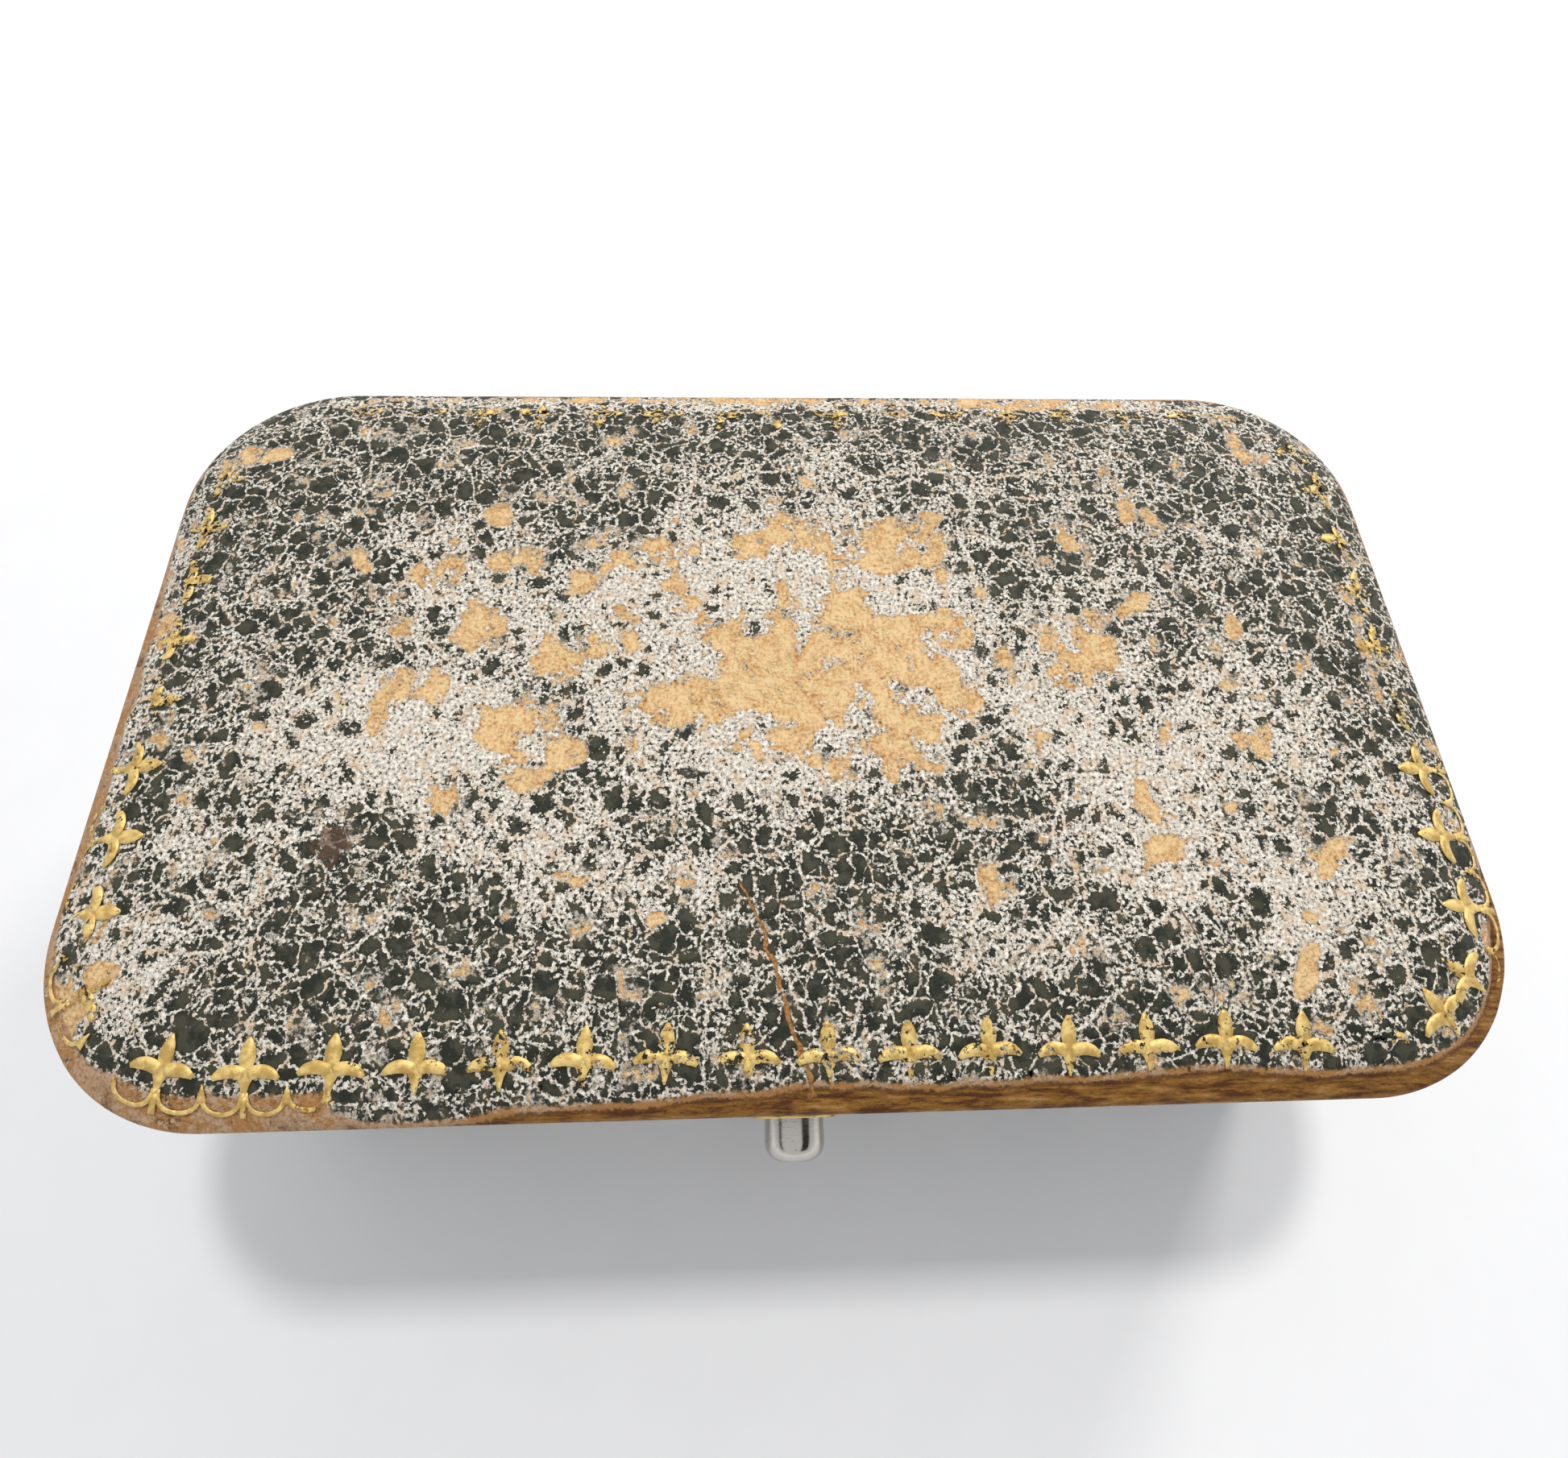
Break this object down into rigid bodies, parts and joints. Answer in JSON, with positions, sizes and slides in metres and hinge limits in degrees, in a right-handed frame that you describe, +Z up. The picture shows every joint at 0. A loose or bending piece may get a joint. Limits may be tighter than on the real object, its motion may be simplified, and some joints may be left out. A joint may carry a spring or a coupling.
{
  "type": "jewellery case",
  "caption": "Small leather-covered wooden jewellery case with rounded corners, a gilt-tooled crowned lid, a rear brass hinge and a push-button catch on its front.",
  "frame": {"origin": "centre of the footprint on the flat underside", "axes": "+X to the right along the case's length, +Y to the rear where the hinge is, +Z up; the push button faces -Y"},
  "size_m": [0.095, 0.0602, 0.0326],
  "materials": {
    "wood_frame": "plain limewood, unfinished",
    "case_leather": "crackled dark green-black grained leather, gilt-tooled on top",
    "underside_leatherette": "plain matt leather paper",
    "grey_card": "pasteboard",
    "velvet": "dark red cut-pile velvet",
    "satin": "cream satin",
    "brass": "satin, tarnished",
    "nickel": "polished nickel plate, lightly worn",
    "steel": "blued spring steel"
  },
  "bodies": {
    "root": {"base_hoop": "wood_frame", "base_floor": "wood_frame", "base_underside_cover": "underside_leatherette", "base_side_leather": "case_leather", "base_rim_leather": "case_leather", "base_lip_card": "grey_card", "base_lip_velvet": "velvet", "pad_tray": "grey_card", "velvet_pad": "velvet", "hinge_base_leaf": "brass", "hinge_base_nails": "brass", "hinge_pin": "brass", "button_bush": "brass", "catch_pivot_pin": "steel", "catch_spring": "steel", "spring_rivet": "brass", "lock_plate": "brass", "lock_plate_screws": "steel", "catch_rim_plate": "brass", "catch_rim_nails": "brass"},
    "lid": {"hinge_lid_leaf": "brass", "hinge_lid_nails": "brass", "striker_plate": "brass", "striker_nails": "brass", "lid_hoop": "wood_frame", "lid_top_board": "wood_frame", "lid_side_leather": "case_leather", "lid_top_leather": "case_leather", "lid_rim_leather": "case_leather", "lid_wall_lining": "satin", "lid_pad_card": "grey_card", "lid_satin_pad": "satin"},
    "button": {"push_button": "nickel"},
    "catch_lever": {"catch_lever": "steel"}
  },
  "joints": [
    {"name": "lid_hinge", "type": "hinge", "parent": "root", "child": "lid", "pos_m": [0, 0.0269, 0.02], "axis": [-1, 0, 0], "range_deg": [0, 100]},
    {"name": "button_press", "type": "slide", "parent": "root", "child": "button", "axis": [0, 1, 0], "range_m": [0, 0.0008], "stiffness_N_per_m": 1500, "springref_m": -0.0005},
    {"name": "catch_tip", "type": "hinge", "parent": "root", "child": "catch_lever", "pos_m": [0, -0.0253, 0.0055], "axis": [-1, 0, 0], "range_deg": [0, 5.4], "deforming": ["catch_spring"]}
  ],
  "couplings": [
    {"joint": "catch_tip", "follows": "button_press", "rad_per_m": 114.94}
  ]
}
